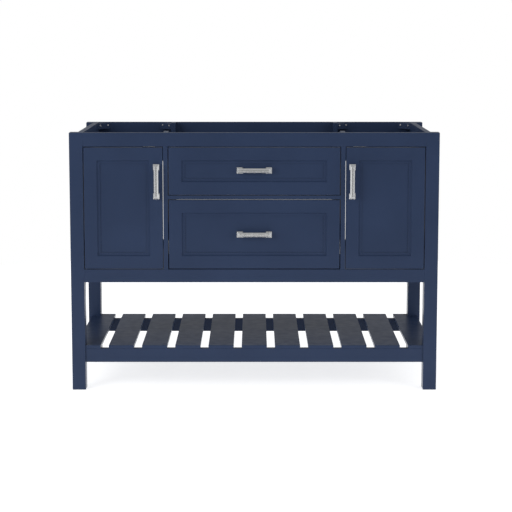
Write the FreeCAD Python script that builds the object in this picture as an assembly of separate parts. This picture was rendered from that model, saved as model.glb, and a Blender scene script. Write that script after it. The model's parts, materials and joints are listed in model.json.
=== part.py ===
import FreeCAD, Part
import os
from FreeCAD import Vector

# A freestanding bathroom vanity cabinet: four square posts carry a case with a door at each side,
# a tip-out sink front over one drawer in the middle, and a slatted shelf near the floor.
# The counter top and the basin are bought separately, so the case is open on top and at the back.
#
# Millimetres. +X is to the right of a person facing the cabinet, +Y towards the wall, +Z up.
# The origin is on the floor, in the middle of the whole cabinet, pulls included.

# ---- driving dimensions ------------------------------------------------------------------------
WIDTH = 1219.2             # over the posts
DEPTH = 546.1              # front face of the posts to back face of the posts
HEIGHT = 863.6             # floor to the seat of the counter top
POST = 44.45               # square section of the posts
PULL_PROJECTION = 29.0     # height of a pull over the face that it is screwed to

FRONT_THICKNESS = 19.0     # doors and drawer fronts
FRAME_WIDTH = 42.0         # flat face of a door's stiles and rails
SLOPE_WIDTH = 4.0          # sloping inner edge of that frame
SLOPE_DEPTH = 5.0
LEDGE_WIDTH = 7.0          # flat ledge between the slope and the panel
PANEL_RECESS = 7.0         # frame face down to the panel
PANEL_THICKNESS = 6.0
PANEL_TONGUE = 8.0         # how far the panel runs into its groove
TOP_GAP = 3.4              # gaps round the inset fronts: over the doors and the sink front
LOW_GAP = 2.2              # under them
HINGE_GAP = 2.8            # doors to posts
MEETING_GAP = 2.2          # doors to dividers
MIDDLE_GAP = 3.2           # sink front and drawer front to dividers
DRAWER_TOP_GAP = 2.4
DRAWER_LOW_GAP = 2.8
EDGE = 0.8                 # eased edge of painted timber
FRONT_EDGE = 0.5           # crisper edge of the doors and drawer fronts
OVERRUN = 1.0              # how far a cutting shape runs past what it cuts

RAIL_THICKNESS = 20.0      # front rails and shelf rails
SHEET = 15.0               # dividers, bottom and back rails
TOP_RAIL_BOTTOM = 818.3
DRAWER_RAIL_TOP = 656.0
DRAWER_RAIL_BOTTOM = 643.3
CASE_FLOOR = 409.0         # top face of the bottom panel and of the bottom front rail
CASE_BOTTOM = 365.4        # lowest face of the case
TOP_BACK_RAIL_BOTTOM = 721.6
BOTTOM_BACK_RAIL_TOP = 430.0
SIDE_PANEL = 19.05
DIVIDER_INNER = 285.7      # centre line to the middle bay's side of a divider

NOTCH_BOTTOM = 813.0       # pipe and bowl notch in the dividers
NOTCH_FRONT = 86.0         # measured back from the front face
NOTCH_REAR = 481.0
NOTCH_RADIUS = 15.0

WALL_HOLE_RADIUS = 2.5
WALL_HOLE_Z = 780.0
WALL_HOLE_SPACING = 812.8  # two wall studs 32 inches apart

BLOCK_LEG = 42.0           # corner blocks for the counter top
BLOCK_HEIGHT = 22.0
BLOCK_DROP = 2.0           # top of a block under the top of the case
SCREW_DROP = 11.0          # screws of a block under the top of the case
SCREW_SPACING = 35.0
SCREW_RADIUS = 2.0
SCREW_GRIP = 10.0
SCREW_HEAD_RADIUS = 3.4
SCREW_HEAD_HEIGHT = 1.9

SHELF_RAIL_BOTTOM = 93.6
SHELF_RAIL_TOP = 139.6
SLAT_TOP = 150.8
SLAT_COUNT = 11
SLAT_PITCH = 111.3
SLAT_WIDTH = 84.3
SHELF_INSET = 5.0          # slat ends behind the post faces

PULL_CENTRES = 96.0
FOOT_LENGTH = 19.5         # pedestal foot of a pull, along the bar
FOOT_WIDTH = 20.5
FOOT_BASE = 17.0           # height of its square base
FOOT_SLOPE = 4.5           # 45 degree slope from the base up to the bar
BAR_WIDTH = 14.8
BAR_THICKNESS = 8.0
BAR_BEVEL = 4.6
DOOR_PULL_X = 322.5
DOOR_PULL_Z = 703.5
SINK_PULL_Z = 740.0
DRAWER_PULL_Z = 527.0

PIVOT_INSET = 4.5          # pivot axis behind the front face and in from the edge of a front
PIN_RADIUS = 2.0
RUNNING_GAP = 0.05         # radial clearance of a pivot pin
LEAF_LENGTH = 60.0
LEAF_WIDTH = 8.0
LEAF_THICKNESS = 2.5
PIN_REACH = 2.0            # how far a pivot pin goes past the leaf that turns on it
PIN_POCKET = 3.0           # depth of the bore in the door beyond that leaf
PIN_CLEARANCE = 0.4        # radial room round a pin in timber
COLLAR_INSET = 0.4         # collar radius less than the eye of a leaf
COLLAR_GAP = 0.1           # between the collar and the leaf that it carries
PIN_END_GAP = 0.5

SLIDE_SPACE = 12.7         # divider to drawer side
SLIDE_HEIGHT = 45.0
SLIDE_LENGTH = 450.0
SLIDE_METAL = 1.2
SLIDE_MIDDLE_Z = 480.0
SLIDE_SETBACK = 3.0        # slides behind the drawer front
OUTER_LIP = 9.4            # reaches below are measured from the divider towards the drawer
MIDDLE_WEB = 3.2
MIDDLE_LIP = 10.6
INNER_LIP = 6.2
NESTING = 1.8              # each slide member inside the lips of the one that carries it
MIDDLE_SHORTER = 4.0       # at each end
BOX_SIDE = 12.0
BOX_BOTTOM_Z = 441.0
BOX_TOP_Z = 555.0
BOX_LENGTH = 450.0
BOX_FLOOR = 6.0

TRAY_WIDTH = 480.0
TRAY_DEPTH = 70.0
TRAY_BOTTOM_Z = 682.0
TRAY_TOP_Z = 738.0
TRAY_WALL = 2.5

# ---- derived places ----------------------------------------------------------------------------
FRONT = (PULL_PROJECTION - DEPTH) / 2
BACK = FRONT + DEPTH
HALF = WIDTH / 2
POST_INNER = HALF - POST
DIVIDER_OUTER = DIVIDER_INNER + SHEET
REAR_INNER = BACK - SHEET
PIVOT_Y = FRONT + PIVOT_INSET
DOOR_INNER = DIVIDER_OUTER + MEETING_GAP
DOOR_OUTER = POST_INNER - HINGE_GAP
FRONT_HALF = DIVIDER_INNER - MIDDLE_GAP
SIDES = {"left": -1, "right": 1}


# ---- helpers -----------------------------------------------------------------------------------
def block(x, y, z):
    """A box from three (low, high) pairs."""
    size = [abs(high - low) for low, high in (x, y, z)]
    return Part.makeBox(*size, Vector(min(x), min(y), min(z)))


def spread(side, near, far):
    """The x range of a piece between two distances from the centre line."""
    return (side * near, side * far)


def eased(shape, radius=EDGE):
    return shape.makeFillet(radius, shape.Edges)


def eased_along(shape, axis, radius=EDGE):
    """Rounds only the edges that run along one axis, so that end joints stay tight."""
    picked = []
    for edge in shape.Edges:
        run = edge.Vertexes[-1].Point - edge.Vertexes[0].Point
        if run.Length > 0 and abs(run.dot(axis)) > 0.999 * run.Length:
            picked.append(edge)
    return shape.makeFillet(radius, picked)


def rectangle(x, z, y):
    corners = [Vector(x[0], y, z[0]), Vector(x[1], y, z[0]), Vector(x[1], y, z[1]), Vector(x[0], y, z[1])]
    return Part.makePolygon(corners + corners[:1])


def taper(x_front, z_front, y_front, x_back, z_back, y_back):
    """A straight-sided solid between two upright rectangles."""
    faces = [rectangle(x_front, z_front, y_front), rectangle(x_back, z_back, y_back)]
    return Part.makeLoft(faces, True, True)


def grown(pair, amount):
    return (pair[0] - amount, pair[1] + amount)


def rod(radius, start, direction, length):
    return Part.makeCylinder(radius, length, start, direction)


def group(shapes):
    return Part.makeCompound(shapes)


def save(name, shape):
    solids = shape.Solids
    if not all(solid.isValid() for solid in solids):
        raise ValueError(name + " is not a valid shape")
    result = solids[0] if len(solids) == 1 else Part.makeCompound(solids)
    result.exportStep(os.path.join("parts", name + ".step"))


# ---- case --------------------------------------------------------------------------------------
def post_block(side, y_low):
    return block(spread(side, POST_INNER, HALF), (y_low, y_low + POST), (0, HEIGHT))


def make_legs():
    for name, side in SIDES.items():
        save(name + "_front_leg", eased(post_block(side, FRONT)))
        save(name + "_rear_leg", eased(post_block(side, BACK - POST)))


def hinge_leaf(side, z):
    """A pivot hinge leaf: a straight bar with a round end about the pivot axis."""
    tip = side * (DOOR_OUTER - PIVOT_INSET)
    half = LEAF_WIDTH / 2
    bar = block(sorted((tip, tip - side * (LEAF_LENGTH - half))), (PIVOT_Y - half, PIVOT_Y + half),
                (z, z + LEAF_THICKNESS))
    eye = rod(half, Vector(tip, PIVOT_Y, z), Vector(0, 0, 1), LEAF_THICKNESS)
    return bar.fuse(eye).removeSplitter()


def make_front_rails():
    along_x = Vector(1, 0, 0)
    span = (-POST_INNER, POST_INNER)
    depth = (FRONT, FRONT + RAIL_THICKNESS)
    top = eased_along(block(span, depth, (TOP_RAIL_BOTTOM, HEIGHT)), along_x)
    bottom = eased_along(block(span, depth, (CASE_BOTTOM, CASE_FLOOR)), along_x)
    for side in SIDES.values():
        top = top.cut(hinge_leaf(side, TOP_RAIL_BOTTOM))
        bottom = bottom.cut(hinge_leaf(side, CASE_FLOOR - LEAF_THICKNESS))
    middle = block((-DIVIDER_INNER, DIVIDER_INNER), depth, (DRAWER_RAIL_BOTTOM, DRAWER_RAIL_TOP))
    save("top_front_rail", top)
    save("bottom_front_rail", bottom)
    save("drawer_rail", eased_along(middle, along_x))


def make_side_panels():
    for name, side in SIDES.items():
        panel = block(spread(side, POST_INNER, POST_INNER + SIDE_PANEL), (FRONT + POST, BACK - POST),
                      (CASE_BOTTOM, HEIGHT))
        save(name + "_side_panel", eased_along(panel, Vector(0, 1, 0)))


def divider_notch(side):
    """A deep notch in the top edge, open upwards, with rounded lower corners."""
    x = spread(side, DIVIDER_INNER - SHEET, DIVIDER_OUTER + SHEET)
    notch = block(x, (FRONT + NOTCH_FRONT, FRONT + NOTCH_REAR), (NOTCH_BOTTOM, HEIGHT + POST))
    low_edges = [edge for edge in notch.Edges
                 if abs(edge.CenterOfMass.z - NOTCH_BOTTOM) < 0.01 and edge.BoundBox.XLength > SHEET]
    return notch.makeFillet(NOTCH_RADIUS, low_edges)


def pivot_pin(side):
    start = Vector(side * (FRONT_HALF - 2 * PIVOT_INSET), PIVOT_Y, sink_pivot_z())
    return rod(PIN_RADIUS, start, Vector(side, 0, 0), 2 * PIVOT_INSET + MIDDLE_GAP + SHEET / 2)


def make_dividers():
    for name, side in SIDES.items():
        x = spread(side, DIVIDER_INNER, DIVIDER_OUTER)
        panel = block(x, (FRONT, REAR_INNER), (CASE_FLOOR, HEIGHT))
        rail_seat = block(x, (FRONT, FRONT + RAIL_THICKNESS), (TOP_RAIL_BOTTOM, HEIGHT))
        panel = panel.cut(rail_seat).cut(divider_notch(side)).cut(pivot_pin(side))
        save(name + "_divider", panel)


def make_floor_and_back():
    span = (-POST_INNER, POST_INNER)
    floor = block(span, (FRONT + RAIL_THICKNESS, REAR_INNER), (CASE_FLOOR - SHEET, CASE_FLOOR))
    save("bottom_panel", floor)
    top = block(span, (REAR_INNER, BACK), (TOP_BACK_RAIL_BOTTOM, HEIGHT))
    for x in (-WALL_HOLE_SPACING / 2, WALL_HOLE_SPACING / 2):
        start = Vector(x, REAR_INNER - OVERRUN, WALL_HOLE_Z)
        top = top.cut(rod(WALL_HOLE_RADIUS, start, Vector(0, 1, 0), SHEET + 2 * OVERRUN))
    save("top_back_rail", eased_along(top, Vector(1, 0, 0)))
    bottom = block(span, (REAR_INNER, BACK), (CASE_BOTTOM, BOTTOM_BACK_RAIL_TOP))
    save("bottom_back_rail", eased_along(bottom, Vector(1, 0, 0)))


def corner_block(corner_x, side):
    """A triangular block in a rear corner, with two screws through its sloping face."""
    top = HEIGHT - BLOCK_DROP
    corner = Vector(corner_x, REAR_INNER, top - BLOCK_HEIGHT)
    across = corner + Vector(side * BLOCK_LEG, 0, 0)
    forward = corner + Vector(0, -BLOCK_LEG, 0)
    base = Part.Face(Part.makePolygon([corner, across, forward, corner]))
    return base.extrude(Vector(0, 0, BLOCK_HEIGHT))


def block_screws(corner_x, side):
    """Pan-head screws square to the sloping face of a corner block."""
    inward = Vector(-side, 1, 0).normalize()
    along = Vector(side, 1, 0).normalize()
    middle = Vector(corner_x + side * BLOCK_LEG / 2, REAR_INNER - BLOCK_LEG / 2, HEIGHT - SCREW_DROP)
    screws = []
    for offset in (-SCREW_SPACING / 2, SCREW_SPACING / 2):
        seat = middle + along * offset
        shank = rod(SCREW_RADIUS, seat, inward, SCREW_GRIP)
        head = Part.makeCone(SCREW_HEAD_RADIUS, SCREW_RADIUS, SCREW_HEAD_HEIGHT, seat, -inward)
        screws.append(shank.fuse(head))
    return screws


def make_corner_blocks():
    blocks = []
    screws = []
    for side in SIDES.values():
        for corner_x, facing in ((side * POST_INNER, -side), (side * DIVIDER_OUTER, side)):
            pair = block_screws(corner_x, facing)
            blocks.append(corner_block(corner_x, facing).cut(group(pair)))
            screws += pair
    save("corner_blocks", group(blocks))
    save("corner_block_screws", group(screws))


# ---- slatted shelf -----------------------------------------------------------------------------
def make_shelf():
    along_x = Vector(1, 0, 0)
    height = (SHELF_RAIL_BOTTOM, SHELF_RAIL_TOP)
    front_face = FRONT + SHELF_INSET
    rear_face = BACK - SHELF_INSET
    post_face = BACK - POST
    span = (-POST_INNER, POST_INNER)
    front_rail = block(span, (front_face, front_face + RAIL_THICKNESS), height)
    rear_rail = block(span, (post_face, post_face + RAIL_THICKNESS), height)
    save("front_shelf_rail", eased_along(front_rail, along_x))
    save("rear_shelf_rail", eased_along(rear_rail, along_x))

    outer = (SLAT_COUNT - 1) / 2 * SLAT_PITCH + SLAT_WIDTH / 2
    between_posts = (FRONT + POST, BACK - POST)
    side_rails = [block(spread(side, outer - RAIL_THICKNESS, outer), between_posts, height)
                  for side in SIDES.values()]
    save("side_shelf_rails", group([eased_along(rail, Vector(0, 1, 0)) for rail in side_rails]))

    posts = group([post_block(side, y) for side in SIDES.values() for y in (FRONT, BACK - POST)])
    for index in range(SLAT_COUNT):
        middle = (index - (SLAT_COUNT - 1) / 2) * SLAT_PITCH
        slat = block((middle - SLAT_WIDTH / 2, middle + SLAT_WIDTH / 2), (front_face, rear_face),
                     (SHELF_RAIL_TOP, SLAT_TOP))
        save("slat_%d" % (index + 1), eased(slat).cut(posts))


# ---- framed fronts -----------------------------------------------------------------------------
def framed_front(x, z):
    """The stiles, rails and flat panel of a recessed-panel front, as three shapes."""
    y = (FRONT, FRONT + FRONT_THICKNESS)
    face = FRAME_WIDTH
    foot = FRAME_WIDTH + SLOPE_WIDTH
    deep = foot + LEDGE_WIDTH
    ring = eased(block(x, y, z), FRONT_EDGE)
    ring = ring.cut(taper(grown(x, -face), grown(z, -face), FRONT, grown(x, -foot), grown(z, -foot),
                          FRONT + SLOPE_DEPTH))
    ring = ring.cut(block(grown(x, -deep), y, grown(z, -deep)))
    tongue = deep - PANEL_TONGUE
    panel = block(grown(x, -tongue), (FRONT + PANEL_RECESS, FRONT + PANEL_RECESS + PANEL_THICKNESS),
                  grown(z, -tongue))
    ring = ring.cut(panel)
    between = block(grown(x, -deep), grown(y, OVERRUN), grown(z, OVERRUN))
    return ring.cut(between), ring.common(between), panel


def bar_pull():
    """A pull lying along X, its back on the plane y = 0 and its middle at the origin."""
    foot = PULL_CENTRES / 2
    parts = []
    for side in SIDES.values():
        middle = side * foot
        base = block(grown((middle, middle), FOOT_LENGTH / 2), (-FOOT_BASE, 0), grown((0, 0), FOOT_WIDTH / 2))
        neck_x = grown((middle, middle), FOOT_LENGTH / 2 - FOOT_SLOPE)
        neck_z = grown((0, 0), FOOT_WIDTH / 2 - FOOT_SLOPE)
        slope = taper(neck_x, neck_z, -FOOT_BASE - FOOT_SLOPE, grown(neck_x, FOOT_SLOPE),
                      grown(neck_z, FOOT_SLOPE), -FOOT_BASE)
        neck = block(neck_x, (-PULL_PROJECTION + BAR_THICKNESS / 2, -FOOT_BASE), neck_z)
        parts += [base, slope, neck]
    bar_x = grown((-foot, foot), FOOT_LENGTH / 2 - FOOT_SLOPE)
    bar_z = grown((0, 0), BAR_WIDTH / 2)
    shoulder = -PULL_PROJECTION + BAR_BEVEL
    back_half = block(bar_x, (shoulder, -PULL_PROJECTION + BAR_THICKNESS), bar_z)
    nose = taper(grown(bar_x, -BAR_BEVEL), grown(bar_z, -BAR_BEVEL), -PULL_PROJECTION, bar_x, bar_z, shoulder)
    return back_half.fuse(parts + [nose]).removeSplitter()


def stile_pull(x, z):
    """An upright pull on the face of a door stile."""
    pull = bar_pull()
    pull.rotate(Vector(0, 0, 0), Vector(0, 1, 0), 90)
    pull.translate(Vector(x, FRONT, z))
    return pull


def panel_pull(z):
    """A level pull in the middle of a recessed panel."""
    pull = bar_pull()
    pull.translate(Vector(0, FRONT + PANEL_RECESS, z))
    return pull


# ---- doors -------------------------------------------------------------------------------------
def door_heights():
    return (CASE_FLOOR + LOW_GAP, TOP_RAIL_BOTTOM - TOP_GAP)


def door_leaves(side):
    low, high = door_heights()
    leaves = [hinge_leaf(side, low), hinge_leaf(side, high - LEAF_THICKNESS)]
    start = Vector(side * (DOOR_OUTER - PIVOT_INSET), PIVOT_Y, low - OVERRUN)
    bore = rod(PIN_RADIUS + RUNNING_GAP, start, Vector(0, 0, 1), high - low + 2 * OVERRUN)
    return [leaf.cut(bore) for leaf in leaves]


def frame_leaves(side):
    """The leaves in the rails, each with its pin, and a collar that keeps the gap under the door."""
    x = side * (DOOR_OUTER - PIVOT_INSET)
    up = Vector(0, 0, 1)
    reach = LEAF_THICKNESS + PIN_REACH
    low_pin = rod(PIN_RADIUS, Vector(x, PIVOT_Y, CASE_FLOOR), up, LOW_GAP + reach)
    collar = rod(LEAF_WIDTH / 2 - COLLAR_INSET, Vector(x, PIVOT_Y, CASE_FLOOR), up, LOW_GAP - COLLAR_GAP)
    low = hinge_leaf(side, CASE_FLOOR - LEAF_THICKNESS).fuse([low_pin, collar])
    high_pin = rod(PIN_RADIUS, Vector(x, PIVOT_Y, TOP_RAIL_BOTTOM), -up, TOP_GAP + reach)
    high = hinge_leaf(side, TOP_RAIL_BOTTOM).fuse(high_pin)
    return [low.removeSplitter(), high.removeSplitter()]


def leaf_pockets(side):
    """What a door gives up for its two leaves and for the ends of the pins."""
    low, high = door_heights()
    x = side * (DOOR_OUTER - PIVOT_INSET)
    up = Vector(0, 0, 1)
    radius = PIN_RADIUS + PIN_CLEARANCE
    depth = LEAF_THICKNESS + PIN_POCKET
    bores = [rod(radius, Vector(x, PIVOT_Y, z), direction, depth) for z, direction in ((low, up), (high, -up))]
    return group([hinge_leaf(side, low), hinge_leaf(side, high - LEAF_THICKNESS)] + bores)


def make_doors():
    for name, side in SIDES.items():
        x = tuple(sorted(spread(side, DOOR_INNER, DOOR_OUTER)))
        stiles, rails, panel = framed_front(x, door_heights())
        pocket = leaf_pockets(side)
        save(name + "_door_stiles", stiles.cut(pocket))
        save(name + "_door_rails", rails.cut(pocket))
        save(name + "_door_panel", panel)
        save(name + "_door_pull", stile_pull(side * DOOR_PULL_X, DOOR_PULL_Z))
        save(name + "_door_hinge_leaves", group(door_leaves(side)))
    leaves = [leaf for side in SIDES.values() for leaf in frame_leaves(side)]
    save("hinge_frame_leaves", group(leaves))


# ---- tip-out sink front ------------------------------------------------------------------------
def sink_heights():
    return (DRAWER_RAIL_TOP + LOW_GAP, TOP_RAIL_BOTTOM - TOP_GAP)


def sink_pivot_z():
    return sink_heights()[0] + PIVOT_INSET


def make_sink_front():
    stiles, rails, panel = framed_front((-FRONT_HALF, FRONT_HALF), sink_heights())
    for side in SIDES.values():
        bore_start = Vector(side * (FRONT_HALF - 2 * PIVOT_INSET - PIN_END_GAP), PIVOT_Y, sink_pivot_z())
        bore_length = 2 * PIVOT_INSET + PIN_END_GAP + OVERRUN
        stiles = stiles.cut(rod(PIN_RADIUS + RUNNING_GAP, bore_start, Vector(side, 0, 0), bore_length))
    save("sink_front_stiles", stiles)
    save("sink_front_rails", rails)
    save("sink_front_panel", panel)
    save("sink_front_pull", panel_pull(SINK_PULL_Z))
    save("sink_front_pivot_pins", group([pivot_pin(side) for side in SIDES.values()]))
    x = (-TRAY_WIDTH / 2, TRAY_WIDTH / 2)
    y = (FRONT + FRONT_THICKNESS, FRONT + FRONT_THICKNESS + TRAY_DEPTH)
    tray = block(x, y, (TRAY_BOTTOM_Z, TRAY_TOP_Z))
    inside = (TRAY_BOTTOM_Z + TRAY_WALL, TRAY_TOP_Z + OVERRUN)
    hollow = block(grown(x, -TRAY_WALL), grown(y, -TRAY_WALL), inside)
    save("sink_front_tray", tray.cut(hollow))


# ---- drawer ------------------------------------------------------------------------------------
def channel(side, web_near, web_far, lip_far, half_height, y):
    """A C-section slide member; the web and lips are distances from the divider towards the drawer."""
    def x_range(near, far):
        return spread(side, DIVIDER_INNER - near, DIVIDER_INNER - far)
    low = SLIDE_MIDDLE_Z - half_height
    high = SLIDE_MIDDLE_Z + half_height
    reach = x_range(min(web_near, lip_far), max(web_far, lip_far))
    web = block(x_range(web_near, web_far), y, (low, high))
    lips = [block(reach, y, (low, low + SLIDE_METAL)), block(reach, y, (high - SLIDE_METAL, high))]
    return web.fuse(lips).removeSplitter()


def make_slides():
    start = FRONT + FRONT_THICKNESS + SLIDE_SETBACK
    half = SLIDE_HEIGHT / 2
    outer_y = (start, start + SLIDE_LENGTH)
    middle_y = grown(outer_y, -MIDDLE_SHORTER)
    inner_y = (start, FRONT + FRONT_THICKNESS + BOX_LENGTH)
    inner_web = SLIDE_SPACE - SLIDE_METAL
    outer, middle, inner = [], [], []
    for side in SIDES.values():
        outer.append(channel(side, 0, SLIDE_METAL, OUTER_LIP, half, outer_y))
        middle.append(channel(side, MIDDLE_WEB, MIDDLE_WEB + SLIDE_METAL, MIDDLE_LIP, half - NESTING,
                              middle_y))
        inner.append(channel(side, inner_web, SLIDE_SPACE, INNER_LIP, half - 2 * NESTING, inner_y))
    save("slide_outer_members", group(outer))
    save("slide_middle_members", group(middle))
    save("slide_inner_members", group(inner))


def make_drawer():
    heights = (CASE_FLOOR + DRAWER_LOW_GAP, DRAWER_RAIL_BOTTOM - DRAWER_TOP_GAP)
    stiles, rails, panel = framed_front((-FRONT_HALF, FRONT_HALF), heights)
    save("drawer_front_stiles", stiles)
    save("drawer_front_rails", rails)
    save("drawer_front_panel", panel)
    save("drawer_pull", panel_pull(DRAWER_PULL_Z))

    outer = DIVIDER_INNER - SLIDE_SPACE
    y = (FRONT + FRONT_THICKNESS, FRONT + FRONT_THICKNESS + BOX_LENGTH)
    z = (BOX_BOTTOM_Z, BOX_TOP_Z)
    floor = block((-outer + BOX_SIDE / 2, outer - BOX_SIDE / 2), grown(y, -BOX_SIDE / 2),
                  (BOX_BOTTOM_Z + BOX_FLOOR, BOX_BOTTOM_Z + 2 * BOX_FLOOR))
    sides = [block(spread(side, outer - BOX_SIDE, outer), y, z) for side in SIDES.values()]
    inner = outer - BOX_SIDE
    front = block((-inner, inner), (y[0], y[0] + BOX_SIDE), z)
    back = block((-inner, inner), (y[1] - BOX_SIDE, y[1]), z)
    save("drawer_box_sides", group([wall.cut(floor) for wall in sides]))
    save("drawer_box_front", front.cut(floor))
    save("drawer_box_back", back.cut(floor))
    save("drawer_box_bottom", floor)


os.makedirs("parts", exist_ok=True)
make_legs()
make_front_rails()
make_side_panels()
make_dividers()
make_floor_and_back()
make_corner_blocks()
make_shelf()
make_doors()
make_sink_front()
make_slides()
make_drawer()
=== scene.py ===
import json
import math
import bpy
import bmesh
from mathutils import Matrix, Vector

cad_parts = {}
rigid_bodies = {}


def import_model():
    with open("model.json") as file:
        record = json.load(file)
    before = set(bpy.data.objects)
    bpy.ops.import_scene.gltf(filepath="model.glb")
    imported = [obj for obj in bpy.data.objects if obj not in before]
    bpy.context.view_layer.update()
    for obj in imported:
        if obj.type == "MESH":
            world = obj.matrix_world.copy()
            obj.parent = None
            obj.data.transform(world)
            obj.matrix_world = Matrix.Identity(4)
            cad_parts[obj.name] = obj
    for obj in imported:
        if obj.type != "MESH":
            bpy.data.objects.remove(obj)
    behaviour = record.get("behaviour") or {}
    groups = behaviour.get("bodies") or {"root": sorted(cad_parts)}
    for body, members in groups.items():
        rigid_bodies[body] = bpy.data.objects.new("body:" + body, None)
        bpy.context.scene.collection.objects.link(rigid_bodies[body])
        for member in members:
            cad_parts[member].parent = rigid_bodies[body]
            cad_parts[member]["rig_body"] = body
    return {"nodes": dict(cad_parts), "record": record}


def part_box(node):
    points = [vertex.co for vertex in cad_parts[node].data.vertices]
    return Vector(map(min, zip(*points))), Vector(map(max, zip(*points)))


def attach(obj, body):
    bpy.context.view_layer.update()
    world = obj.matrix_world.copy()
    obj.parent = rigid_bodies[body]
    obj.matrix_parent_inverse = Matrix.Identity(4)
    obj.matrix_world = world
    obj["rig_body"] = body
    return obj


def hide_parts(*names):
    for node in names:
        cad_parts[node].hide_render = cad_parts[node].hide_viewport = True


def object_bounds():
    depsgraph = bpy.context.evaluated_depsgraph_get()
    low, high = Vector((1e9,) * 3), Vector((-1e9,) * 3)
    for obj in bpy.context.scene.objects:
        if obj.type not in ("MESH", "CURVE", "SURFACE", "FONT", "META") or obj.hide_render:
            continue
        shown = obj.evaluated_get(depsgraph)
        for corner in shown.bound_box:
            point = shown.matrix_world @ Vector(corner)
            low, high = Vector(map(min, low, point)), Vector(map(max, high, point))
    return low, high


# Looks of the vanity cabinet: satin navy paint, satin nickel pulls, zinc slides and a birch drawer box.
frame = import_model()
CAD_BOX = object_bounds()
NODES = frame["nodes"]

# ---- camera and studio, metres -----------------------------------------------------------------
CAMERA_DISTANCE = 4.77      # in front of the posts' faces
CAMERA_HEIGHT = 1.216
CAMERA_PITCH = 7.06         # degrees below the horizon
LENS = 102.3                # millimetres on a 36 mm sensor
SHIFT_X = 0.0033
SHIFT_Y = -0.10
FLOOR_RADIUS = 2.6
FLOOR_DROP = 0.0005         # under the feet
FLOOR_GLOW = 0.74           # to the eye
FLOOR_LIGHT = 0.23          # to the object
FLOOR_SHINE = 1.15          # to the object's reflections
SKY_FRONT = 0.38            # brightness of the room behind the camera
SKY_SIDE = 1.10             # of the windows at both sides
SKY_BACK = 0.43             # of the wall behind the cabinet
CEILING = 0.42              # share of that which is left straight above
CEILING_SHINE = 0.52        # the same share, in reflections
FAR_FLOOR = 0.20            # share of it that is left below the horizon behind the cabinet

NAVY = (0.0262, 0.0430, 0.0920)

# ---- small hardware, metres --------------------------------------------------------------------
PULL_CENTRES = 0.096
PULL_EDGE = 0.0006          # rounding of the pulls' edges
PULL_CREASE = 20.0          # degrees; what bends more than this is an edge
HEAD_SEGMENTS = 24
HEAD_PROFILE = ((0.0041, 0.0), (0.0040, 0.0007), (0.0034, 0.0013), (0.0026, 0.0016))    # radius, height
RECESS_REACH = 0.0018
RECESS_ARM = 0.0004
RECESS_DEPTH = 0.0009
SLIDE_LIP = 0.0053          # edge of a slide's lip to its web
SLIDE_SCREWS = (0.12, 0.50, 0.86)   # along the length
FRONT_SCREW_SHARE = 0.6     # of the half width of the drawer box
CATCH_OFFSET = 0.045        # from the free edge of the door
CATCH_RISE = 0.009          # above the door
CATCH_WIDTH = 0.040
CATCH_DEPTH = 0.013
CATCH_HEIGHT = 0.023
CATCH_EDGE = 0.0015
STRIKE_DROP = 0.0075        # middle of the strike under the top of the door
STRIKE_WIDTH = 0.036
STRIKE_HEIGHT = 0.011
STRIKE_METAL = 0.0008
STRIKE_EDGE = 0.0002


# ---- node helpers ------------------------------------------------------------------------------
def ranged(tree, source, low, high, start, end, kind="SMOOTHSTEP"):
    """Maps a value between start and end onto the range from low to high."""
    spread = tree.nodes.new("ShaderNodeMapRange")
    spread.interpolation_type = kind
    for name, value in (("From Min", start), ("From Max", end), ("To Min", low), ("To Max", high)):
        spread.inputs[name].default_value = value
    tree.links.new(source, spread.inputs["Value"])
    return spread.outputs["Result"]


def combined(tree, operation, *values):
    """The result of a maths node on numbers or sockets."""
    result = tree.nodes.new("ShaderNodeMath")
    result.operation = operation
    for value, socket in zip(values, result.inputs):
        if isinstance(value, float):
            socket.default_value = value
        else:
            tree.links.new(value, socket)
    return result.outputs[0]


def chosen(tree, switch, off, on):
    """The value on where the switch is 1, and off where it is 0."""
    kept = combined(tree, "MULTIPLY", combined(tree, "SUBTRACT", 1.0, switch), off)
    return combined(tree, "MULTIPLY_ADD", switch, on, kept)


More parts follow.
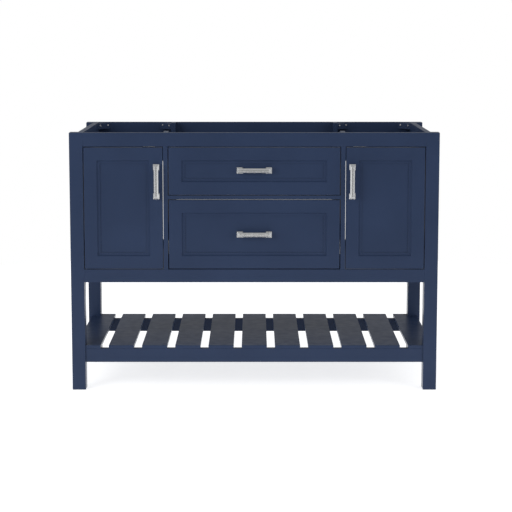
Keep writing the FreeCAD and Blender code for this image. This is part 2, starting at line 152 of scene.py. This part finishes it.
class Shader:
    """A material's node tree, with short calls for the nodes that the finishes share."""

    def __init__(self, name, **sockets):
        self.material = bpy.data.materials.new(name)
        self.material.use_nodes = True
        self.tree = self.material.node_tree
        self.surface = self.tree.nodes["Principled BSDF"]
        for socket, value in sockets.items():
            self.surface.inputs[socket.replace("_", " ")].default_value = value

    def node(self, kind, **settings):
        made = self.tree.nodes.new(kind)
        for key, value in settings.items():
            setattr(made, key, value)
        return made

    def link(self, source, target):
        self.tree.links.new(source, target)

    def place(self, stretch=(1.0, 1.0, 1.0)):
        """Row-frame coordinates in metres, stretched along chosen axes."""
        coordinates = self.node("ShaderNodeTexCoord")
        mapping = self.node("ShaderNodeMapping")
        mapping.inputs["Scale"].default_value = stretch
        self.link(coordinates.outputs["Object"], mapping.inputs["Vector"])
        return mapping.outputs["Vector"]

    def noise(self, scale, detail=2.0, stretch=(1.0, 1.0, 1.0), distortion=0.0):
        noise = self.node("ShaderNodeTexNoise")
        noise.inputs["Scale"].default_value = scale
        noise.inputs["Detail"].default_value = detail
        noise.inputs["Distortion"].default_value = distortion
        self.link(self.place(stretch), noise.inputs["Vector"])
        return noise.outputs["Fac"]

    def ramp(self, factor, *stops):
        """A colour for each (position, colour) stop."""
        ramp = self.node("ShaderNodeValToRGB")
        elements = ramp.color_ramp.elements
        while len(elements) < len(stops):
            elements.new(0.5)
        for element, (position, colour) in zip(elements, stops):
            element.position = position
            element.color = (*colour, 1.0)
        self.link(factor, ramp.inputs["Fac"])
        return ramp.outputs["Color"]

    def spread(self, factor, low, high, start=0.3, end=0.7):
        """Maps a noise onto the range from low to high."""
        return ranged(self.tree, factor, low, high, start, end, "LINEAR")

    def blend(self, factor, first, second):
        mix = self.node("ShaderNodeMix", data_type="RGBA")
        for value, socket in ((factor, mix.inputs[0]), (first, mix.inputs[6]), (second, mix.inputs[7])):
            if isinstance(value, float):
                socket.default_value = value
            else:
                self.link(value, socket)
        return mix.outputs[2]

    def bump(self, height, distance, strength=1.0):
        """Adds a bump on top of any bump made before."""
        bump = self.node("ShaderNodeBump")
        bump.inputs["Distance"].default_value = distance
        bump.inputs["Strength"].default_value = strength
        self.link(height, bump.inputs["Height"])
        target = self.surface.inputs["Normal"]
        if target.links:
            self.link(target.links[0].from_socket, bump.inputs["Normal"])
        self.link(bump.outputs["Normal"], target)

    def colour(self, socket):
        self.link(socket, self.surface.inputs["Base Color"])

    def roughness(self, socket):
        self.link(socket, self.surface.inputs["Roughness"])


def tinted(colour, amount):
    return tuple(channel * amount for channel in colour)


def along(axis, lengthwise, crosswise):
    """A texture stretch that is long on one axis and fine on the other two."""
    return tuple(lengthwise if name == axis else crosswise for name in "XYZ")


# ---- finishes ----------------------------------------------------------------------------------
def navy_paint(name, grain):
    """Sprayed satin paint: faint cloudiness, orange peel, and the timber's grain showing through."""
    shader = Shader(name, Specular_IOR_Level=0.15)
    cloud = shader.noise(5.0, 3.0)
    shader.colour(shader.ramp(cloud, (0.30, tinted(NAVY, 0.93)), (0.72, tinted(NAVY, 1.07))))
    shader.roughness(shader.spread(shader.noise(38.0, 4.0), 0.31, 0.39))
    if grain:
        shader.bump(shader.noise(1.0, 5.0, along(grain, 7.0, 210.0), 0.3), 0.00008, 0.5)
    shader.bump(shader.noise(850.0, 1.0), 0.00005, 0.5)
    return shader.material


def nickel(name, grain):
    """Satin nickel plate, brushed along the bar."""
    shader = Shader(name, Metallic=1.0, Anisotropic=0.2)
    brushing = shader.noise(1.0, 4.0, along(grain, 60.0, 4200.0))
    shader.colour(shader.ramp(brushing, (0.25, (0.62, 0.615, 0.60)), (0.75, (0.70, 0.695, 0.68))))
    shader.roughness(shader.spread(brushing, 0.20, 0.27))
    shader.bump(brushing, 0.000006, 0.5)
    return shader.material


def zinc(name, tone):
    """Bright zinc plate with a faint cool cloud, as on slides and screws; the hinges use it with a
    near-black tone as painted shade in the door gaps.
    """
    shader = Shader(name, Metallic=1.0)
    cloud = shader.noise(70.0, 4.0)
    shader.colour(shader.ramp(cloud, (0.3, tinted(tone, 0.86)), (0.7, tone)))
    shader.roughness(shader.spread(shader.noise(260.0, 3.0), 0.26, 0.42))
    shader.bump(shader.noise(900.0, 2.0), 0.00003, 0.5)
    return shader.material


def birch(name, grain, ply_axis):
    """Lacquered birch plywood, with the layers showing on the cut top edges."""
    shader = Shader(name, Specular_IOR_Level=0.4, Coat_Weight=0.15, Coat_Roughness=0.3)
    fibres = shader.noise(1.0, 6.0, along(grain, 5.0, 120.0), 0.6)
    face = shader.ramp(fibres, (0.22, (0.50, 0.345, 0.195)), (0.5, (0.66, 0.50, 0.315)),
                       (0.8, (0.74, 0.60, 0.41)))
    figure = shader.noise(1.0, 3.0, along(grain, 1.6, 16.0), 1.2)
    figure = shader.ramp(figure, (0.35, (0.60, 0.44, 0.27)), (0.65, (0.74, 0.58, 0.39)))
    face = shader.blend(0.35, face, figure)
    if ply_axis:
        wave = shader.node("ShaderNodeTexWave", wave_type="BANDS", bands_direction=ply_axis)
        wave.inputs["Scale"].default_value = 84.0
        wave.inputs["Distortion"].default_value = 0.6
        shader.link(shader.place(), wave.inputs["Vector"])
        layers = shader.ramp(wave.outputs["Fac"], (0.25, (0.34, 0.215, 0.115)), (0.6, (0.66, 0.51, 0.33)))
        normal = shader.node("ShaderNodeNewGeometry")
        split = shader.node("ShaderNodeSeparateXYZ")
        shader.link(normal.outputs["Normal"], split.inputs["Vector"])
        upward = shader.spread(split.outputs["Z"], 0.0, 1.0, 0.6, 0.8)
        face = shader.blend(upward, face, layers)
    shader.colour(face)
    shader.roughness(shader.spread(fibres, 0.38, 0.52))
    shader.bump(fibres, 0.00015, 0.5)
    return shader.material


def tray_plastic(name):
    shader = Shader(name, Specular_IOR_Level=0.45)
    cloud = shader.noise(14.0, 3.0)
    shader.colour(shader.ramp(cloud, (0.3, (0.74, 0.74, 0.72)), (0.7, (0.80, 0.80, 0.785))))
    shader.roughness(shader.spread(shader.noise(300.0, 2.0), 0.40, 0.52))
    shader.bump(shader.noise(1400.0, 1.0), 0.00004, 0.5)
    return shader.material


def dress(node, material):
    mesh = NODES[node].data
    mesh.materials.clear()
    mesh.materials.append(material)


# ---- putting the finishes on -------------------------------------------------------------------
SMOOTH_SHEETS = ("side_panel", "divider", "bottom_panel", "door_panel", "front_panel")


def grain_of(node):
    """The axis along which a painted piece's timber runs, or "sheet" for a board without grain."""
    if any(word in node for word in SMOOTH_SHEETS):
        return "sheet"
    if "stiles" in node:
        return "Z"
    if "rails" in node and "side" not in node:
        return "X"
    low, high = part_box(node)
    size = high - low
    return "XYZ"[max(range(3), key=lambda index: size[index])]


def paint_everything():
    """Dresses every CAD piece, and returns the finishes that the small hardware shares."""
    paints = {axis: navy_paint("navy_paint_" + axis.lower(), axis) for axis in "XYZ"}
    paints["sheet"] = navy_paint("navy_paint_sheet", None)
    slots = {part["node"]: part["material_slot"] for part in frame["record"]["subparts"]}
    fixed = {
        # hinge leaves near black: painted shade, so the leaves in the door gaps read as dark as shade
        "hinge_steel": zinc("hinge_steel", (0.045, 0.045, 0.050)),
        "slide_zinc": zinc("slide_zinc", (0.62, 0.64, 0.67)),
        "screw_zinc": zinc("screw_zinc", (0.72, 0.71, 0.69)),
        "tray_plastic": tray_plastic("tray_plastic"),
    }
    for node, slot in slots.items():
        if slot == "cabinet_paint":
            dress(node, paints[grain_of(node)])
        elif slot in fixed:
            dress(node, fixed[slot])
    dress("drawer_box_sides", birch("birch_side", "Y", "X"))
    for node in ("drawer_box_front", "drawer_box_back"):
        dress(node, birch(node.replace("drawer_box", "birch"), "X", "Y"))
    dress("drawer_box_bottom", birch("birch_bottom", "Y", None))
    return fixed


# ---- crisp but softened metal ------------------------------------------------------------------
def soften(node, material):
    """Puts a copy with whole flats and rounded edges in the place of a CAD piece."""
    source = NODES[node]
    mesh = bpy.data.meshes.new(node + "_shape")
    work = bmesh.new()
    work.from_mesh(source.data)
    bmesh.ops.remove_doubles(work, verts=work.verts, dist=1e-5)
    bmesh.ops.dissolve_limit(work, angle_limit=math.radians(1.0), verts=work.verts, edges=work.edges)
    work.to_mesh(mesh)
    work.free()
    mesh.materials.clear()
    mesh.materials.append(material)
    piece = bpy.data.objects.new(node + "_finished", mesh)
    bpy.context.scene.collection.objects.link(piece)
    bevel = piece.modifiers.new("edges", "BEVEL")
    bevel.width = PULL_EDGE
    bevel.segments = 3
    bevel.limit_method = "ANGLE"
    bevel.angle_limit = math.radians(PULL_CREASE)
    for polygon in mesh.polygons:
        polygon.use_smooth = True
    shading = piece.modifiers.new("flats", "WEIGHTED_NORMAL")
    shading.mode = "FACE_AREA"
    shading.weight = 100
    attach(piece, source["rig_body"])
    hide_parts(node)


def make_pulls():
    upright = nickel("pull_nickel_upright", "Z")
    level = nickel("pull_nickel_level", "X")
    for node in ("left_door_pull", "right_door_pull"):
        soften(node, upright)
    for node in ("sink_front_pull", "drawer_pull"):
        soften(node, level)


# ---- small hardware that the CAD leaves out ----------------------------------------------------
def add_piece(name, work, body, material):
    """Turns a bmesh, already in place, into a piece that moves with a body."""
    mesh = bpy.data.meshes.new(name)
    work.to_mesh(mesh)
    work.free()
    mesh.materials.append(material)
    piece = bpy.data.objects.new(name, mesh)
    bpy.context.scene.collection.objects.link(piece)
    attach(piece, body)


def ring(work, points):
    """A closed loop of vertices and edges."""
    corners = [work.verts.new(point) for point in points]
    return [work.edges.new((corner, corners[index - 1])) for index, corner in enumerate(corners)]


def circle(radius, height):
    turns = [math.tau * index / HEAD_SEGMENTS for index in range(HEAD_SEGMENTS)]
    return [(radius * math.cos(turn), radius * math.sin(turn), height) for turn in turns]


def cross(height):
    """The outline of a cross-head recess."""
    reach, arm = RECESS_REACH, RECESS_ARM
    points = [(reach, arm), (arm, arm), (arm, reach)]
    for _ in range(3):
        points += [(-y, x) for x, y in points[-3:]]
    return [(x, y, height) for x, y in points]


def screw_head():
    """A pan head about +Z with a cross recess; its seat is the plane z = 0."""
    work = bmesh.new()
    rings = [ring(work, circle(radius, height)) for radius, height in HEAD_PROFILE]
    for lower, upper in zip(rings, rings[1:]):
        bmesh.ops.bridge_loops(work, edges=lower + upper)
    top = HEAD_PROFILE[-1][1]
    rim = ring(work, cross(top))
    bmesh.ops.triangle_fill(work, use_beauty=True, edges=rings[-1] + rim)
    floor = ring(work, cross(top - RECESS_DEPTH))
    bmesh.ops.bridge_loops(work, edges=rim + floor)
    bmesh.ops.contextual_create(work, geom=floor)
    bmesh.ops.recalc_face_normals(work, faces=work.faces)
    mesh = bpy.data.meshes.new("screw_head")
    work.to_mesh(mesh)
    work.free()
    return mesh


def screw_heads(name, body, facing, places, material):
    """Screw heads on a flat face of a body, all facing one way."""
    work = bmesh.new()
    head = screw_head()
    turn = Vector(facing).to_track_quat("Z", "Y").to_matrix().to_4x4()
    for place in places:
        before = len(work.verts)
        work.from_mesh(head)
        work.verts.ensure_lookup_table()
        bmesh.ops.transform(work, matrix=Matrix.Translation(place) @ turn, verts=work.verts[before:])
    bpy.data.meshes.remove(head)
    add_piece(name, work, body, material)


def rounded_block(name, low, high, width, body, material):
    """A box between two corners with rounded edges."""
    work = bmesh.new()
    low, high = Vector(low), Vector(high)
    size = Matrix.Diagonal((*(high - low), 1.0))
    bmesh.ops.create_cube(work, size=1.0, matrix=Matrix.Translation((low + high) / 2) @ size)
    bmesh.ops.bevel(work, geom=work.edges[:], offset=width, segments=3, affect="EDGES")
    add_piece(name, work, body, material)


def pull_screws(name, pull, seat, body, axis, material):
    """The two screws of a pull, seen from behind, on the rear face of the part named as seat."""
    low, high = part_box(pull)
    middle = (low + high) / 2
    middle.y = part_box(seat)[1].y
    step = PULL_CENTRES / 2 * axis
    screw_heads(name, body, (0.0, 1.0, 0.0), (middle - step, middle + step), material)


def make_screws(steel):
    up, across = Vector((0.0, 0.0, 1.0)), Vector((1.0, 0.0, 0.0))
    for side in ("left", "right"):
        door = side + "_door"
        pull_screws(door + "_pull_screws", door + "_pull", door + "_stiles", door, up, steel)
    pull_screws("sink_front_pull_screws", "sink_front_pull", "sink_front_panel", "sink_front", across, steel)
    pull_screws("drawer_pull_screws", "drawer_pull", "drawer_box_front", "drawer", across, steel)
    low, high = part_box("drawer_box_front")
    reach = (FRONT_SCREW_SHARE * low.x, FRONT_SCREW_SHARE * high.x)
    spots = [Vector((x, high.y, (low.z + high.z) / 2)) for x in reach]
    screw_heads("drawer_front_screws", "drawer", (0.0, 1.0, 0.0), spots, steel)
    low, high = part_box("slide_inner_members")
    steps = [low.y + share * (high.y - low.y) for share in SLIDE_SCREWS]
    for name, x, facing in (("left", low.x + SLIDE_LIP, -1.0), ("right", high.x - SLIDE_LIP, 1.0)):
        spots = [Vector((x, y, (low.z + high.z) / 2)) for y in steps]
        screw_heads(name + "_slide_screws", "drawer", (facing, 0.0, 0.0), spots, steel)


def make_catches(steel, plastic):
    """A magnetic catch behind the top rail for each door, with its strike plate on the door."""
    rail_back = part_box("top_front_rail")[1].y
    for side, sign in (("left", -1.0), ("right", 1.0)):
        door = side + "_door"
        low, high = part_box(door + "_stiles")
        free_edge = high.x if sign < 0 else low.x
        x = free_edge + sign * CATCH_OFFSET
        top = high.z + CATCH_RISE
        rounded_block(side + "_catch", (x - CATCH_WIDTH / 2, rail_back, top - CATCH_HEIGHT),
                      (x + CATCH_WIDTH / 2, rail_back + CATCH_DEPTH, top),
                      CATCH_EDGE, "carcass", plastic)
        plate_z = high.z - STRIKE_DROP
        face = high.y + STRIKE_METAL
        rounded_block(side + "_strike", (x - STRIKE_WIDTH / 2, high.y, plate_z - STRIKE_HEIGHT / 2),
                      (x + STRIKE_WIDTH / 2, face, plate_z + STRIKE_HEIGHT / 2),
                      STRIKE_EDGE, door, steel)
        screw_heads(side + "_strike_screw", door, (0.0, 1.0, 0.0), (Vector((x, face, plate_z)),), steel)


# ---- studio ------------------------------------------------------------------------------------
def make_camera():
    data = bpy.data.cameras.new("camera")
    data.lens = LENS
    data.sensor_width = 36.0
    data.shift_x = SHIFT_X
    data.shift_y = SHIFT_Y
    camera = bpy.data.objects.new("camera", data)
    camera.location = (0.0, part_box("left_front_leg")[0].y - CAMERA_DISTANCE, CAMERA_HEIGHT)
    camera.rotation_euler = (math.radians(90.0 - CAMERA_PITCH), 0.0, 0.0)
    bpy.context.scene.collection.objects.link(camera)
    bpy.context.scene.camera = camera


def make_floor():
    mesh = bpy.data.meshes.new("studio_floor")
    work = bmesh.new()
    bmesh.ops.create_circle(work, cap_ends=True, radius=FLOOR_RADIUS, segments=96)
    work.to_mesh(mesh)
    work.free()
    shader = Shader("floor_white", Base_Color=(0.86, 0.86, 0.86, 1.0), Roughness=0.9, Specular_IOR_Level=0.1,
                    Emission_Color=(1.0, 1.0, 1.0, 1.0))
    path = shader.node("ShaderNodeLightPath")
    glow = chosen(shader.tree, path.outputs["Is Glossy Ray"], FLOOR_LIGHT, FLOOR_SHINE)
    glow = chosen(shader.tree, path.outputs["Is Camera Ray"], glow, FLOOR_GLOW)
    shader.link(glow, shader.surface.inputs["Emission Strength"])
    mesh.materials.append(shader.material)
    floor = bpy.data.objects.new("studio_floor", mesh)
    floor.location.z = CAD_BOX[0].z - FLOOR_DROP
    bpy.context.scene.collection.objects.link(floor)


def sky_strength(tree):
    """Dim behind the camera, bright at the sides, and darker towards the ceiling."""
    direction = tree.nodes.new("ShaderNodeTexCoord")
    split = tree.nodes.new("ShaderNodeSeparateXYZ")
    tree.links.new(direction.outputs["Generated"], split.inputs["Vector"])
    front = ranged(tree, split.outputs["Y"], SKY_FRONT, SKY_SIDE, -0.95, -0.15)
    back = ranged(tree, split.outputs["Y"], 1.0, SKY_BACK / SKY_SIDE, 0.2, 0.8)
    glossy = tree.nodes.new("ShaderNodeLightPath").outputs["Is Glossy Ray"]
    share = chosen(tree, glossy, CEILING, CEILING_SHINE)
    height = ranged(tree, split.outputs["Z"], 0.0, 1.0, 0.3, 0.85)
    ceiling = combined(tree, "MULTIPLY_ADD", combined(tree, "SUBTRACT", share, 1.0), height, 1.0)
    behind = ranged(tree, split.outputs["Y"], 0.0, 1.0, 0.2, 0.8)
    below = ranged(tree, split.outputs["Z"], 1.0 - FAR_FLOOR, 0.0, -0.10, 0.0)
    far_floor = combined(tree, "SUBTRACT", 1.0, combined(tree, "MULTIPLY", behind, below))
    walls = combined(tree, "MULTIPLY", front, back)
    return combined(tree, "MULTIPLY", combined(tree, "MULTIPLY", walls, ceiling), far_floor)


def make_sky():
    """A white surround to the eye that lights the object only gently."""
    world = bpy.data.worlds.new("studio")
    bpy.context.scene.world = world
    world.use_nodes = True
    tree = world.node_tree
    tree.nodes.clear()
    output = tree.nodes.new("ShaderNodeOutputWorld")
    seen = tree.nodes.new("ShaderNodeBackground")
    seen.inputs["Color"].default_value = (1.0, 1.0, 1.0, 1.0)
    light = tree.nodes.new("ShaderNodeBackground")
    light.inputs["Color"].default_value = (0.95, 0.97, 1.0, 1.0)
    tree.links.new(sky_strength(tree), light.inputs["Strength"])
    path = tree.nodes.new("ShaderNodeLightPath")
    mix = tree.nodes.new("ShaderNodeMixShader")
    tree.links.new(path.outputs["Is Camera Ray"], mix.inputs[0])
    tree.links.new(light.outputs[0], mix.inputs[1])
    tree.links.new(seen.outputs[0], mix.inputs[2])
    tree.links.new(mix.outputs[0], output.inputs["Surface"])


def softbox(name, place, target, size, power):
    data = bpy.data.lights.new(name, "AREA")
    data.shape = "RECTANGLE"
    data.size, data.size_y = size
    data.energy = power
    light = bpy.data.objects.new(name, data)
    light.location = place
    light.rotation_euler = (Vector(target) - Vector(place)).to_track_quat("-Z", "Y").to_euler()
    bpy.context.scene.collection.objects.link(light)


def make_lights():
    centre = (CAD_BOX[0] + CAD_BOX[1]) / 2
    softbox("key", (-3.0, -3.4, 1.9), centre, (2.2, 2.4), 66.0)
    softbox("fill", (3.2, -3.2, 1.6), centre, (2.2, 2.2), 34.0)


make_camera()
make_floor()
make_sky()
make_lights()
bpy.context.scene.view_settings.view_transform = "Standard"
metals = paint_everything()
make_pulls()
make_screws(metals["screw_zinc"])
make_catches(metals["slide_zinc"], metals["tray_plastic"])
